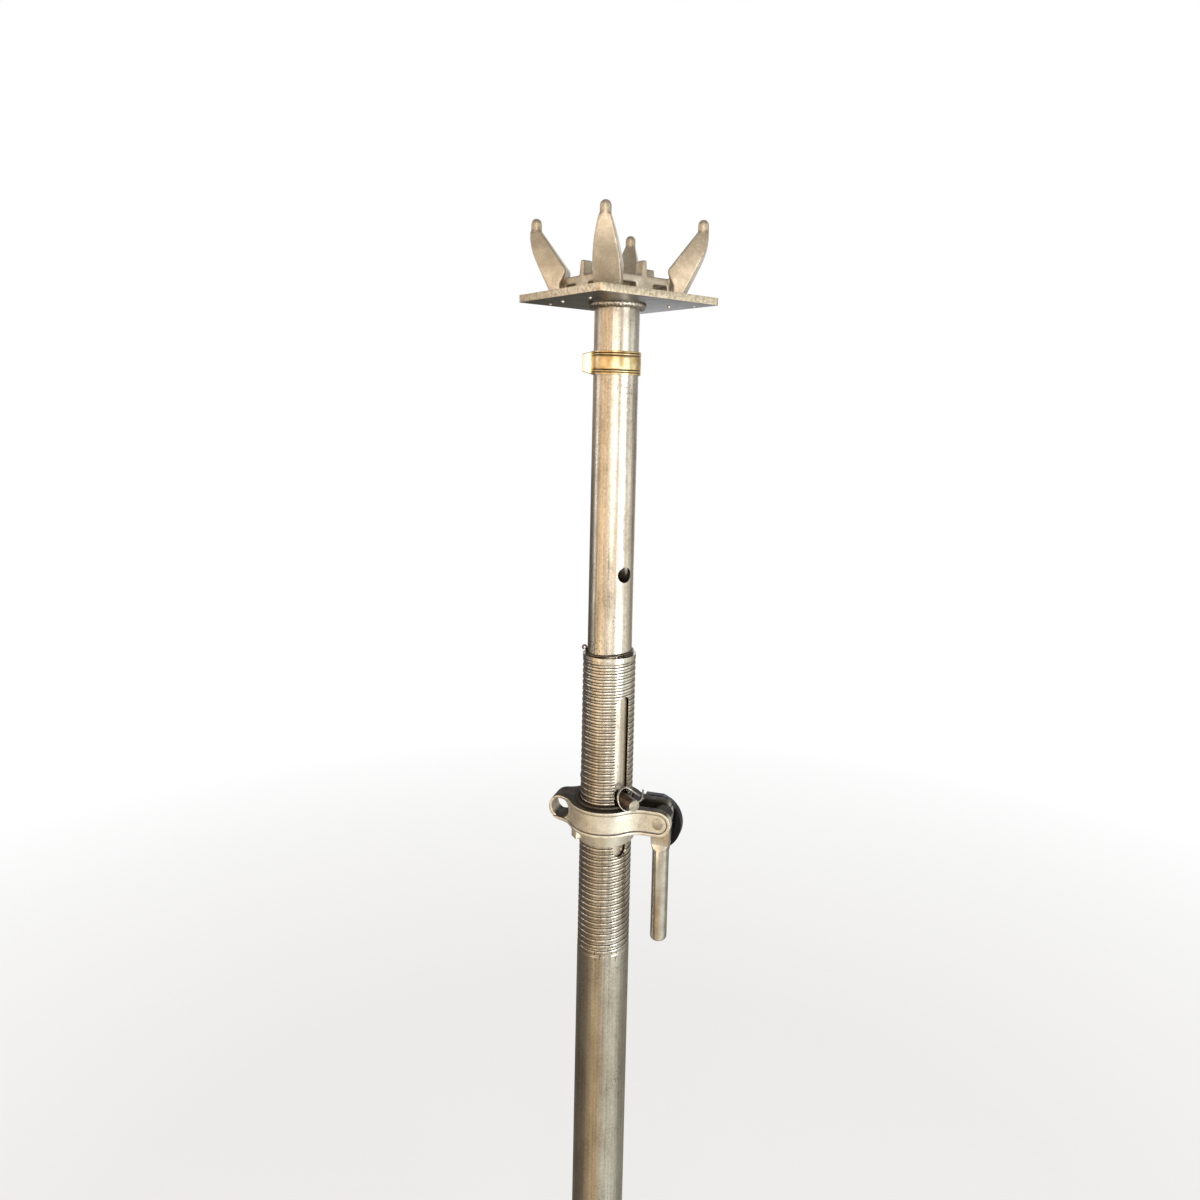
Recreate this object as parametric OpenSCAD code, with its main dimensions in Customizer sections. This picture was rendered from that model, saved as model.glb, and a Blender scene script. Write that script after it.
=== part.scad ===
/* [Outer tube] */
// Outside diameter of the outer tube and of its thread crests
outer_d = 76.1; // [70:0.1:90]
// Wall of the outer tube
outer_wall = 4; // [3:0.1:4.2]
// Height of the outer tube's rim above the floor
rim_height = 1350; // [1200:10:1800]
// Length of the rolled thread, down from the rim
thread_len = 442; // [400:1:600]
// Height of one turn of the thread
thread_pitch = 8.5; // [6:0.25:10]
// Depth of the thread below its crest
thread_depth = 1.2; // [0.8:0.1:1.6]
// Width of the two pin slots
slot_w = 24; // [19:0.5:26]
// Distance from the rim down to the top of a slot
slot_drop = 56; // [45:1:60]
// Length of a slot
slot_len = 236; // [230:1:270]

/* [Inner tube] */
// Outside diameter of the inner tube
inner_d = 63.5; // [58:0.1:64]
// Wall of the inner tube
inner_wall = 4; // [3:0.1:6]
// Distance from the outer tube's rim up to the head plate, as drawn
extension = 493; // [440:1:520]
// Length of the inner tube
inner_len = 1420; // [1400:10:1440]
// Diameter of the pin holes
pin_hole_d = 22; // [20:0.5:26]
// Distance from the head plate down to the first pin hole
first_hole_drop = 376; // [360:1:390]
// Distance from one pin hole to the next
hole_pitch = 160; // [150:1:170]
// Number of pin holes
hole_count = 6; // [4:1:6]
// Height of the guide ring at the inner tube's foot
guide_h = 30; // [15:1:60]

/* [Base plate] */
// Side of the square base plate
base_size = 150; // [130:1:200]
// Thickness of the base plate
base_t = 8; // [6:1:14]
// Diameter of the four anchor holes
anchor_hole_d = 14; // [10:1:18]
// Distance between neighbouring anchor holes
anchor_pitch = 110; // [104:1:115]
// Radius of the corners of the base plate
base_corner_r = 8; // [2:1:12]
// Leg of the fillet weld round the outer tube
base_weld = 6; // [3:0.5:10]

/* [Head plate] */
// Side of the square head plate
head_size = 200; // [190:1:240]
// Thickness of the head plate
head_t = 10; // [8:1:14]
// Radius of the corners of the head plate
head_corner_r = 6; // [2:1:15]
// Leg of the fillet weld under the head plate
head_weld = 8; // [4:0.5:10]

/* [Crown] */
// Outside width of the crown's square ring
ring_size = 122; // [110:1:130]
// Width of the ring's bars
ring_bar = 16; // [12:1:18]
// Height of the ring above the head plate
ring_h = 23; // [18:1:26]
// Height of the low arches under the ring's bars
arch_h = 12; // [8:0.5:14]
// Height of the lugs above the ring
fin_h = 20; // [12:1:26]
// Thickness of the lugs
fin_t = 8; // [6:0.5:12]
// Distance from the crown's axis to the middle of a horn's foot
horn_reach = 84; // [82:1:88]
// Height of the horns above the head plate
horn_h = 105; // [98:1:115]
// Width of a horn at its widest place
horn_w = 37; // [32:1:42]
// Diameter of a horn's round tip
tip_d = 15; // [12:0.5:18]

/* [Stop band] */
// Height of the stop band
band_h = 32; // [28:1:44]
// Distance from the head plate down to the band's lower edge
band_drop = 98; // [90:1:110]
// Thickness of the band
band_t = 2.5; // [2:0.1:4]
// Height of the beads pressed into the band
bead_h = 1.2; // [0.8:0.1:2]
// How far the band's lug stands out
band_lug = 15; // [8:1:20]

/* [Collar nut] */
// Height of the collar nut's body
nut_h = 37; // [32:1:44]
// Radius of the nut's body round the tube
nut_r = 52; // [50:0.5:60]
// Height of the rims along the nut's upper and lower edge
nut_rim_h = 4.5; // [3:0.5:6]
// How far those rims stand out
nut_rim = 2; // [1:0.5:4]
// Radius of the threaded sleeve that stands above the nut's body
sleeve_r = 43; // [42:0.5:48]
// Height of that sleeve above the body
sleeve_h = 3.5; // [3.5:0.5:10]
// Radial gap between the thread's crest and the nut's bore
nut_gap = 0.35; // [0.3:0.05:0.6]
// Height of the conical skirt below the nut
skirt_h = 19; // [8:1:24]
// Distance from the prop's axis to the handle's hinge pin
hinge_reach = 84; // [80:1:100]
// Gap between the nut's two cheeks
fork_gap = 26; // [24:0.5:32]
// Thickness of each cheek
cheek_t = 10; // [7:0.5:14]
// Distance from the prop's axis to the outer end of the nut's loop
loop_reach = 84; // [80:1:100]
// Width of the loop
loop_w = 28; // [24:1:44]
// Thickness of the loop's strap
loop_t = 4.5; // [4:0.5:7]
// Turn of the nut about the prop's axis, as drawn
nut_angle = -54; // [-60:1:-48]
// Diameter of the hinge pin
hinge_d = 12; // [10:0.5:14]

/* [Handle] */
// Diameter of the handle's bar
handle_d = 24; // [20:0.5:27]
// Length of the handle from its hinge to its end
handle_len = 182; // [130:1:220]
// Thickness of the handle's flat head
handle_head_t = 22; // [16:0.5:25]

/* [Locking pin] */
// Diameter of the locking pin
pin_d = 18; // [16:0.5:18.5]
// Distance from the rim down to the locking pin, as drawn
pin_drop = 203; // [190:1:220]
// Distance from the prop's axis to the pin's free end
pin_out = 67; // [52:1:70]
// Diameter of the pin's head
pin_head_d = 28; // [24:1:36]
// Thickness of the pin's head
pin_head_t = 7; // [4:0.5:12]

/* [Hidden] */
$fn = 64;
inner_tol = 0.05;
slide_gap = 0.3;
outer_bore = outer_d - 2 * outer_wall;
head_z = rim_height + extension;
crown_z = head_z + head_t;
inner_foot_z = head_z - inner_len;
pin_z = rim_height - pin_drop;
nut_top_z = pin_z - pin_d / 2 - slide_gap;
nut_bore_r = outer_d / 2 + nut_gap;

// ---- small shapes that several pieces share ----

// Square with rounded corners, centred
module rounded_square(size, r) {
    square([size - 2 * r, size], center = true);
    square([size, size - 2 * r], center = true);
    for (x = [-1, 1], y = [-1, 1])
        translate([x * (size / 2 - r), y * (size / 2 - r)]) circle(r);
}

// Triangular fillet weld round a tube: its foot is at z = 0 and it climbs the tube
module fillet_weld(tube_d, leg) {
    rotate_extrude()
        polygon([[tube_d / 2 + inner_tol, 0], [tube_d / 2 + leg, 0],
                 [tube_d / 2 + leg * 0.62, leg * 0.55], [tube_d / 2 + inner_tol, leg]]);
}

// Round wire bent to part of a circle in the XY plane
module wire_arc(r, wire_d, angle) {
    rotate_extrude(angle = angle) translate([r, 0]) circle(wire_d / 2);
}

// ---- fixed lower part ----

module base_plate() {
    color("#9a9c98") difference() {
        linear_extrude(base_t) rounded_square(base_size, base_corner_r);
        for (x = [-1, 1], y = [-1, 1])
            translate([x * anchor_pitch / 2, y * anchor_pitch / 2, -1])
                cylinder(d = anchor_hole_d, h = base_t + 2);
    }
}

module base_weld() {
    color("#8b8c86") translate([0, 0, base_t]) fillet_weld(outer_d, base_weld);
}

// One pin slot with round ends, cut right across the tube along Y
module pin_slots() {
    for (z = [rim_height - slot_drop - slot_w / 2, rim_height - slot_drop - slot_len + slot_w / 2])
        translate([0, outer_d, z]) rotate([90, 0, 0]) cylinder(d = slot_w, h = 2 * outer_d);
    translate([-slot_w / 2, -outer_d, rim_height - slot_drop - slot_len + slot_w / 2])
        cube([slot_w, 2 * outer_d, slot_len - slot_w]);
}

// Grooves of the rolled thread, one for each turn
module thread_grooves() {
    crest = outer_d / 2;
    root = thread_pitch * 0.17;
    mouth = thread_pitch * 0.3;
    turns = floor(thread_len / thread_pitch);
    rotate_extrude() for (i = [0:turns - 1])
        translate([0, rim_height - (i + 0.5) * thread_pitch])
            polygon([[crest - thread_depth, -root], [crest - thread_depth, root],
                     [crest + 1, mouth], [crest + 1, -mouth]]);
}

module outer_tube() {
    color("#a8a391") difference() {
        translate([0, 0, base_t]) cylinder(d = outer_d, h = rim_height - base_t);
        translate([0, 0, base_t - 1]) cylinder(d = outer_bore, h = rim_height);
        thread_grooves();
        pin_slots();
    }
}

// Two turns of spring wire that sit on the rim and keep the inner tube central
module keeper_ring() {
    wire = 4;
    eye_r = 3.6;
    eye_angle = 143;
    ring_r = inner_d / 2 + slide_gap + wire / 2;
    $fn = 40;
    color("#b9b5a4") {
        translate([0, 0, rim_height + wire / 2]) rotate(-75) wire_arc(ring_r, wire, 340);
        rotate(eye_angle) translate([0, 0, rim_height + 1.5 * wire]) {
            wire_arc(ring_r, wire, 330);
            // eye bent up at the end of the upper turn
            translate([ring_r, 0, eye_r]) rotate([90, 0, 90]) wire_arc(eye_r, wire, 270);
        }
    }
}

// ---- lifted part ----

module inner_tube() {
    color("#b3ad9b") difference() {
        translate([0, 0, inner_foot_z]) cylinder(d = inner_d, h = inner_len);
        translate([0, 0, inner_foot_z - 1]) cylinder(d = inner_d - 2 * inner_wall, h = inner_len + 2);
        for (i = [0:hole_count - 1])
            translate([0, inner_d, head_z - first_hole_drop - i * hole_pitch])
                rotate([90, 0, 0]) cylinder(d = pin_hole_d, h = 2 * inner_d);
    }
}

// Welded ring that guides the inner tube's foot inside the outer tube
module foot_guide() {
    color("#8b8c86") translate([0, 0, inner_foot_z]) rotate_extrude()
        polygon([[inner_d / 2 + inner_tol, 0], [outer_bore / 2 - slide_gap - 1, 0],
                 [outer_bore / 2 - slide_gap, 2], [outer_bore / 2 - slide_gap, guide_h - 2],
                 [outer_bore / 2 - slide_gap - 1, guide_h], [inner_d / 2 + inner_tol, guide_h]]);
}

module head_plate() {
    color("#a9a48c") translate([0, 0, head_z]) linear_extrude(head_t)
        rounded_square(head_size, head_corner_r);
}

module head_weld() {
    color("#8b8c86") translate([0, 0, head_z]) mirror([0, 0, 1]) fillet_weld(inner_d, head_weld);
}

// Points of an arc about a centre, from one angle to another
function arc_points(x, y, r, from, to, steps) =
    [for (i = [0:steps]) let (a = from + (to - from) * i / steps) [x + r * cos(a), y + r * sin(a)]];

// Side outline of a horn: x is the distance from the crown's axis, y the height above the plate
module horn_side() {
    foot_out = horn_reach + 7;
    tip_x = horn_reach + 32;
    tip_base = horn_h - tip_d - 3;
    back_r = 90;
    back_x = tip_x + tip_d / 2 - back_r;
    start = -asin((tip_base - 47) / back_r);
    polygon(concat([[foot_out, 0]],
                   arc_points(back_x, tip_base, back_r, start, 0, 10),
                   [[tip_x - tip_d / 2, tip_base]],
                   arc_points(horn_reach - 5.5, 32, 8.5, 130, 205, 6),
                   [[foot_out - 17, 22], [foot_out - 13, 13], [foot_out - 14, 0]]));
}

// Front outline of a horn: straight at its foot, then drawn in towards the tip
module horn_front() {
    shoulder = 22;
    neck = horn_h - tip_d - 3;
    steps = 12;
    function half_width(s) = horn_w / 2 - (horn_w - tip_d) / 2 * pow(s, 1.6);
    side = [for (i = [0:steps]) let (s = i / steps)
            [half_width(s), shoulder + (neck - shoulder) * s]];
    polygon(concat([[horn_w / 2, 0]], side,
                   [for (i = [steps:-1:0]) [-side[i][0], side[i][1]]], [[-horn_w / 2, 0]]));
}

module horn() {
    intersection() {
        translate([0, horn_w, 0]) rotate([90, 0, 0]) linear_extrude(2 * horn_w) horn_side();
        rotate([90, 0, 90]) linear_extrude(2 * horn_reach) horn_front();
    }
    translate([horn_reach + 32, 0, horn_h - tip_d - 3]) cylinder(d = tip_d, h = tip_d / 2 + 3);
    translate([horn_reach + 32, 0, horn_h - tip_d / 2]) sphere(d = tip_d);
}

// Lug in the middle of a ring side, wider at its foot
module fin() {
    translate([-ring_size / 2, 0, ring_h - 1]) rotate([90, 0, 90]) linear_extrude(ring_bar)
        polygon([[-fin_t * 0.5, 0], [fin_t * 0.8, 0], [fin_t * 0.5, fin_h + 1], [-fin_t * 0.3, fin_h + 1]]);
}

module crown() {
    color("#b3a791") translate([0, 0, crown_z]) {
        difference() {
            linear_extrude(ring_h) difference() {
                square(ring_size, center = true);
                square(ring_size - 2 * ring_bar, center = true);
            }
            // low arches that leave feet in the corners and in the middle of each side
            for (a = [0:90:270], side = [-1, 1]) rotate(a)
                translate([-ring_size, side * (ring_size / 4 - 4) - 12, -1])
                    cube([ring_size, 24, arch_h + 1]);
        }
        for (a = [0:90:270]) rotate(a) fin();
        for (a = [45:90:315]) rotate(a) horn();
    }
}

// Clamp band that stops the inner tube above the rim, so that no hand is caught there
module stop_band() {
    bore = inner_d / 2 + inner_tol;
    beads = [3, 7.5, band_h - 7.5, band_h - 3];
    lug_angle = 143;
    color("#c2a976") translate([0, 0, head_z - band_drop]) {
        rotate_extrude() {
            translate([bore, 0]) square([band_t, band_h]);
            for (z = beads) difference() {
                translate([bore + band_t, z]) circle(r = bead_h + 0.4);
                translate([0, z - bead_h - 1]) square([bore + band_t / 2, 2 * bead_h + 2]);
            }
        }
        rotate(lug_angle) translate([bore + band_t / 2, 4, 0]) rotate([90, 0, 0]) linear_extrude(8)
            polygon([[0, 0], [band_lug - 4, 0], [band_lug, 4], [band_lug, band_h - 5],
                     [band_lug - 4, band_h], [0, band_h]]);
    }
}

// ---- locking pin ----

module locking_pin() {
    head_y = outer_d / 2 + 9;
    color("#3f332b") translate([0, 0, pin_z]) rotate([-90, 0, 0]) {
        translate([0, 0, -pin_out]) cylinder(d1 = pin_d - 2, d2 = pin_d, h = 1);
        translate([0, 0, 1 - pin_out]) cylinder(d = pin_d, h = pin_out + head_y);
        // head with a flat on its underside, so that it clears the nut
        intersection() {
            translate([0, 0, head_y]) cylinder(d = pin_head_d, h = pin_head_t);
            translate([-pin_head_d, -pin_head_d, 0])
                cube([2 * pin_head_d, pin_head_d + pin_d / 2, 3 * outer_d]);
        }
    }
}

// Spring wire that hugs the pin in front of the slot and ends in a straight tail
module pin_clip() {
    wire = 2.6;
    hoop_r = 14;
    lift = hoop_r - wire / 2 - pin_d / 2 - slide_gap;
    clip_y = -outer_d / 2 - 10;
    tail = 26;
    gap_angle = 50;
    color("#8f8a7c") translate([0, clip_y, pin_z + lift]) rotate([90, 0, 0]) {
        rotate(gap_angle) wire_arc(hoop_r, wire, 250);
        rotate(gap_angle) translate([hoop_r, 0, 0]) rotate([90, 0, 0]) cylinder(d = wire, h = tail);
    }
}

// ---- collar nut: x points to the hinge, y away from the pin's free end, z = 0 is the body's top ----

module in_nut() {
    translate([0, 0, nut_top_z - sleeve_h]) rotate(nut_angle) children();
}

// Concave corner between a circle of radius r about the origin and the line y = h, on the +x side
module blend_corner(r, h, blend) {
    bite = 0.05;
    y = h + blend - bite;
    x = sqrt(pow(r + blend - bite, 2) - pow(y, 2));
    difference() {
        polygon([[0, 0], [x, 0], [x, y]]);
        translate([x, y]) circle(blend);
    }
}

// Plan of the nut: round body, two cheeks on the right and the loop on the left
module nut_plan(grow) {
    fork_half = fork_gap / 2 + cheek_t + grow;
    loop_half = loop_w / 2 + grow;
    circle(nut_r + grow);
    translate([0, -fork_half]) square([hinge_reach + nut_h, 2 * fork_half]);
    translate([-loop_reach - nut_h, -loop_half]) square([loop_reach + nut_h, 2 * loop_half]);
    for (m = [0, 1]) mirror([0, m]) {
        blend_corner(nut_r + grow, fork_half, 40 - grow);
        mirror([1, 0]) blend_corner(nut_r + grow, loop_half, 40 - grow);
    }
}

// Side outline of the nut with a round end at the hinge and one at the loop
module nut_side() {
    r = nut_h / 2;
    translate([-loop_reach + r, -nut_h]) square([loop_reach - r + hinge_reach, nut_h]);
    translate([hinge_reach, -r]) circle(r);
    translate([-loop_reach + r, -r]) circle(r);
}

// Opening of the loop, seen from the side
module loop_hole() {
    r = nut_h / 2 - loop_t;
    outer_x = -loop_reach + loop_t + r;
    inner_x = -nut_r - 2;
    translate([outer_x, -nut_h / 2]) circle(r);
    translate([outer_x, -nut_h / 2 - r]) square([inner_x - r - outer_x + 4, 2 * r]);
    translate([inner_x - r + 4, -nut_h / 2]) circle(r);
}

module along_side() {
    rotate([90, 0, 0]) translate([0, 0, -2 * nut_r]) linear_extrude(4 * nut_r) children();
}

module collar_nut() {
    cheek_out = fork_gap / 2 + cheek_t;
    lug = 9;
    lug_angle = 226;
    color("#b5ad9b") in_nut() difference() {
        union() {
            intersection() {
                union() {
                    translate([0, 0, -nut_h]) linear_extrude(nut_h) nut_plan(0);
                    for (z = [-nut_rim_h, -nut_h])
                        translate([0, 0, z]) linear_extrude(nut_rim_h) nut_plan(nut_rim);
                }
                along_side() nut_side();
            }
            // rim round the ends of the cheeks
            for (side = [-1, 1]) intersection() {
                translate([hinge_reach, side * (cheek_out + nut_rim / 2), -nut_h / 2]) rotate([90, 0, 0])
                    difference() {
                        cylinder(r = nut_h / 2, h = nut_rim, center = true);
                        cylinder(r = nut_h / 2 - nut_rim_h, h = nut_rim + 2, center = true);
                    }
                translate([hinge_reach, -nut_r, -nut_h]) cube([nut_h, 2 * nut_r, nut_h]);
            }
            translate([0, 0, -nut_h]) cylinder(r = sleeve_r, h = nut_h + sleeve_h);
            translate([0, 0, -nut_h - skirt_h]) cylinder(r1 = nut_bore_r + 3, r2 = nut_r - 5, h = skirt_h);
            // strike lug beside the loop
            rotate(lug_angle) translate([nut_r - lug, -0.8 * lug, -nut_h - 1.4 * lug])
                cube([lug, 1.6 * lug, 1.4 * lug + 1]);
        }
        translate([0, 0, -nut_h - skirt_h - 1]) cylinder(r = nut_bore_r, h = nut_h + skirt_h + sleeve_h + 2);
        translate([nut_r - 3, -fork_gap / 2, -2 * nut_h]) cube([hinge_reach + nut_h, fork_gap, 3 * nut_h]);
        translate([hinge_reach, 2 * nut_r, -nut_h / 2]) rotate([90, 0, 0])
            cylinder(d = hinge_d + 2 * inner_tol, h = 4 * nut_r);
        along_side() loop_hole();
    }
}

module hinge_pin() {
    front = fork_gap / 2 + cheek_t;
    head_h = 2;
    color("#a39a86") in_nut() translate([hinge_reach, 0, -nut_h / 2]) rotate([90, 0, 0]) {
        translate([0, 0, -front - 11]) cylinder(d = hinge_d, h = 2 * front + 11);
        translate([0, 0, front]) cylinder(d = hinge_d + 3, h = head_h);
    }
}

// Dark pressed guard behind the rear cheek: a web on the hinge pin with a bent rim round its outside
module hinge_guard() {
    rim_t = 3;
    depth = 14;
    boss_h = 4.5;
    bend_r = 41;
    bend_x = -19;
    bend_y = -24;
    top_x = -34;
    top_y = bend_y + bend_r * sin(75);
    back = fork_gap / 2 + cheek_t + nut_rim + 0.2;
    outside = arc_points(bend_x, bend_y, bend_r, 75, -80, 24);
    inside = arc_points(bend_x, bend_y, bend_r - rim_t, -80, 75, 24);
    color("#23252b") in_nut() translate([hinge_reach, back, -nut_h / 2]) rotate([90, 0, 0]) mirror([0, 0, 1])
        difference() {
            union() {
                cylinder(d = 2 * hinge_d, h = boss_h + 1);
                translate([0, 0, boss_h]) {
                    linear_extrude(depth)
                        polygon(concat([[top_x, top_y]], outside, inside, [[top_x, top_y - rim_t]]));
                    linear_extrude(rim_t)
                        polygon(concat([[top_x, top_y]], outside,
                                       [[-hinge_d, -hinge_d], [top_x, top_y - 12]]));
                }
            }
            translate([0, 0, -1]) cylinder(d = hinge_d + 2 * inner_tol, h = boss_h + depth);
        }
}

// ---- handle ----

module handle() {
    head_w = 30;
    head_len = 42;
    end_r = 5;
    color("#b8ab93") in_nut() translate([hinge_reach, 0, -nut_h / 2]) difference() {
        union() {
            // flat head with a round top, tapered into the bar
            intersection() {
                translate([0, handle_head_t / 2, 0]) rotate([90, 0, 0]) linear_extrude(handle_head_t) {
                    circle(head_w / 2);
                    polygon([[-head_w / 2, 0], [head_w / 2, 0], [handle_d / 2, -head_len - 8],
                             [-handle_d / 2, -head_len - 8]]);
                }
                translate([0, 0, -head_len - 8])
                    cylinder(d1 = handle_d - 1, d2 = head_w * 2.4, h = head_len + 8 + head_w);
            }
            // round bar with a rounded end
            translate([0, 0, -handle_len]) rotate_extrude() {
                translate([0, end_r]) square([handle_d / 2, handle_len - head_len - end_r]);
                square([handle_d / 2 - end_r, end_r + 1]);
                translate([handle_d / 2 - end_r, end_r]) circle(end_r);
            }
        }
        translate([0, handle_d, 0]) rotate([90, 0, 0])
            cylinder(d = hinge_d + 2 * inner_tol, h = 2 * handle_d);
    }
}

base_plate();
base_weld();
outer_tube();
keeper_ring();
inner_tube();
foot_guide();
head_plate();
head_weld();
crown();
stop_band();
locking_pin();
pin_clip();
collar_nut();
hinge_pin();
hinge_guard();
handle();
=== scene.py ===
import math

import bpy
from mathutils import Matrix, Vector


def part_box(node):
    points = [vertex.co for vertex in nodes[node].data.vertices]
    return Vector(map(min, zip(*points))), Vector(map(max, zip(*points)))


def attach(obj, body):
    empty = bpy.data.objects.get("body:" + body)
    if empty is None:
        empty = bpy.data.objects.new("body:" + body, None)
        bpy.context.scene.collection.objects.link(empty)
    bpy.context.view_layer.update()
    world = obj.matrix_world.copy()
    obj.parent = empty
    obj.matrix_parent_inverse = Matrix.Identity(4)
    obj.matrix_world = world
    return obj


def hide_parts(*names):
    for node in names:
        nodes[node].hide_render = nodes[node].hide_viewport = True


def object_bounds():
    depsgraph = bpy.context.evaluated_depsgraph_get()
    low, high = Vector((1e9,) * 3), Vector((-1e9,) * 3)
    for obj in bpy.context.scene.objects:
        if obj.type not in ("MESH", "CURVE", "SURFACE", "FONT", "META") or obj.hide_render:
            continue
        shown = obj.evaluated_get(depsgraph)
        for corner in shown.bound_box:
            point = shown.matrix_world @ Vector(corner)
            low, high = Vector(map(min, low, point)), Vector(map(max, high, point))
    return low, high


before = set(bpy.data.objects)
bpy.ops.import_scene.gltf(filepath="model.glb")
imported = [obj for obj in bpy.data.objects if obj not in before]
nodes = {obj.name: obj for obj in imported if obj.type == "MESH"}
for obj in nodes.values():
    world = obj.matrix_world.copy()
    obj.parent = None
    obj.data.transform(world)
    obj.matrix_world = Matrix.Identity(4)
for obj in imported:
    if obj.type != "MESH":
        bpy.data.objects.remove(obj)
cadLow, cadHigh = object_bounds()
mm = 0.001

hingeLow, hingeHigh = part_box("hinge_pin")
# the collar nut's arm, which the nut's finish, its rear cheek and the handle's head all follow
nutArm = {
    # its direction, what lies across it, and its turn in degrees
    "along": (0.5878, -0.809, 0.0),
    "across": (0.809, 0.5878, 0.0),
    "turn": -54,
    # from the prop's axis to the hinge, and the hinge's height
    "reach": 84 * mm,
    "level": (hingeLow[2] + hingeHigh[2]) / 2,
    # inside of the rims round the hinge, half the gap between the cheeks, and where that gap starts
    "rimRadius": 14.0 * mm,
    "halfGap": 13.3 * mm,
    "gapStart": 40 * mm,
    # the lip round the thread, darkened with painted shade and grease
    "lip": 45 * mm,
}


# small tools

def linear(code):
    # "#rrggbb" as sRGB to linear light
    channels = []
    for i in (1, 3, 5):
        value = int(code[i:i + 2], 16) / 255
        channels.append(value / 12.92 if value <= 0.04045 else ((value + 0.055) / 1.055) ** 2.4)
    return (*channels, 1.0)


def setInputs(tree, node, inputs):
    # a node or a socket is linked, a "#rrggbb" is turned to linear light, a number is set as it is
    for key, value in inputs.items():
        if isinstance(value, bpy.types.Node):
            value = next(out for out in value.outputs if out.enabled)
        if isinstance(value, bpy.types.NodeSocket):
            tree.links.new(value, node.inputs[key])
        else:
            node.inputs[key].default_value = linear(value) if isinstance(value, str) else value


def addNode(tree, kind, inputs=None, stops=(), **settings):
    # one shader node with its settings and links; stops are a ramp's places, each with a colour or a grey
    made = tree.nodes.new("ShaderNode" + kind)
    for key, value in settings.items():
        setattr(made, key, value)
    setInputs(tree, made, inputs or {})
    if stops:
        elements = made.color_ramp.elements
        while len(elements) < len(stops):
            elements.new(0.5)
        for element, (place, tone) in zip(elements, stops):
            element.position = place
            element.color = linear(tone) if isinstance(tone, str) else (tone, tone, tone, 1)
    return made


def startMaterial(name, metallic=1.0, roughness=0.4):
    material = bpy.data.materials.new(name)
    material.use_nodes = True
    tree = material.node_tree
    shader = tree.nodes["Principled BSDF"]
    setInputs(tree, shader, {"Metallic": metallic, "Roughness": roughness})
    place = addNode(tree, "TexCoord").outputs["Object"]
    return material, tree, shader, place


def deselect():
    if bpy.context.object and bpy.context.object.mode != "OBJECT":
        bpy.ops.object.mode_set(mode="OBJECT")
    bpy.ops.object.select_all(action="DESELECT")


def pick(piece):
    deselect()
    piece.select_set(True)
    bpy.context.view_layer.objects.active = piece


def applyPlace(piece):
    pick(piece)
    bpy.ops.object.transform_apply(location=True, rotation=True, scale=True)


def addModifier(piece, kind, **settings):
    pick(piece)
    modifier = piece.modifiers.new(kind.title(), kind)
    for key, value in settings.items():
        setattr(modifier, key, value)
    bpy.ops.object.modifier_apply(modifier=modifier.name)


def mergeDoubles(piece, distance=1e-5):
    pick(piece)
    bpy.ops.object.mode_set(mode="EDIT")
    bpy.ops.mesh.select_all(action="SELECT")
    bpy.ops.mesh.remove_doubles(threshold=distance)
    bpy.ops.mesh.normals_make_consistent(inside=False)
    bpy.ops.object.mode_set(mode="OBJECT")


def copyOfNode(node, name):
    # a CAD node's mesh as a new piece, with its loose triangles merged
    mesh = nodes[node].data.copy()
    piece = bpy.data.objects.new(name, mesh)
    bpy.context.scene.collection.objects.link(piece)
    mesh.materials.clear()
    mergeDoubles(piece)
    return piece


def addBlock(size, middle):
    deselect()
    bpy.ops.mesh.primitive_cube_add(size=1, location=middle)
    block = bpy.context.object
    block.scale = size
    applyPlace(block)
    return block


def addBar(radius, length, middle, sides, alongY=False):
    # a round bar, upright or along Y
    deselect()
    bpy.ops.mesh.primitive_cylinder_add(vertices=sides, radius=radius, depth=length, location=middle,
                                        rotation=(math.pi / 2 if alongY else 0, 0, 0))
    bar = bpy.context.object
    applyPlace(bar)
    return bar


def drawLine(name, start, line):
    # a new piece with one line of edges in the XZ plane, extruded point by point from where it starts
    deselect()
    bpy.ops.mesh.primitive_plane_add(size=1 * mm, location=start)
    piece = bpy.context.object
    piece.name = name
    applyPlace(piece)
    bpy.ops.object.mode_set(mode="EDIT")
    bpy.ops.mesh.select_all(action="SELECT")
    bpy.ops.mesh.merge(type="CENTER")
    for (fromX, fromZ), (toX, toZ) in zip(line, line[1:]):
        bpy.ops.mesh.extrude_region_move(TRANSFORM_OT_translate={"value": (toX - fromX, 0, toZ - fromZ)})
    bpy.ops.object.mode_set(mode="OBJECT")
    return piece


def wireAlong(path, wire, name):
    # a round wire through the points, as a mesh
    data = bpy.data.curves.new(name, "CURVE")
    data.dimensions = "3D"
    data.bevel_depth = wire / 2
    data.bevel_resolution = 4
    data.use_fill_caps = True
    spline = data.splines.new("POLY")
    spline.points.add(len(path) - 1)
    for point, place in zip(spline.points, path):
        point.co = (*place, 1)
    made = bpy.data.objects.new(name, data)
    bpy.context.scene.collection.objects.link(made)
    pick(made)
    bpy.ops.object.convert(target="MESH")
    mergeDoubles(bpy.context.object, 1e-6)
    return bpy.context.object


def cutWith(piece, cutter, operation="DIFFERENCE"):
    addModifier(piece, "BOOLEAN", operation=operation, object=cutter, solver="EXACT")
    bpy.data.objects.remove(cutter)


def joinPieces(first, others):
    deselect()
    for other in others:
        other.select_set(True)
    first.select_set(True)
    bpy.context.view_layer.objects.active = first
    bpy.ops.object.join()


def softenCasting(piece, voxel, rounds):
    # sand-cast look: every edge and inner corner rounded over
    addModifier(piece, "REMESH", mode="VOXEL", voxel_size=voxel)
    addModifier(piece, "SMOOTH", factor=0.5, iterations=rounds)


def bevelEdges(piece, width, segments=3, angle=35):
    addModifier(piece, "BEVEL", width=width, segments=segments, limit_method="ANGLE",
                angle_limit=math.radians(angle), harden_normals=False)


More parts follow.
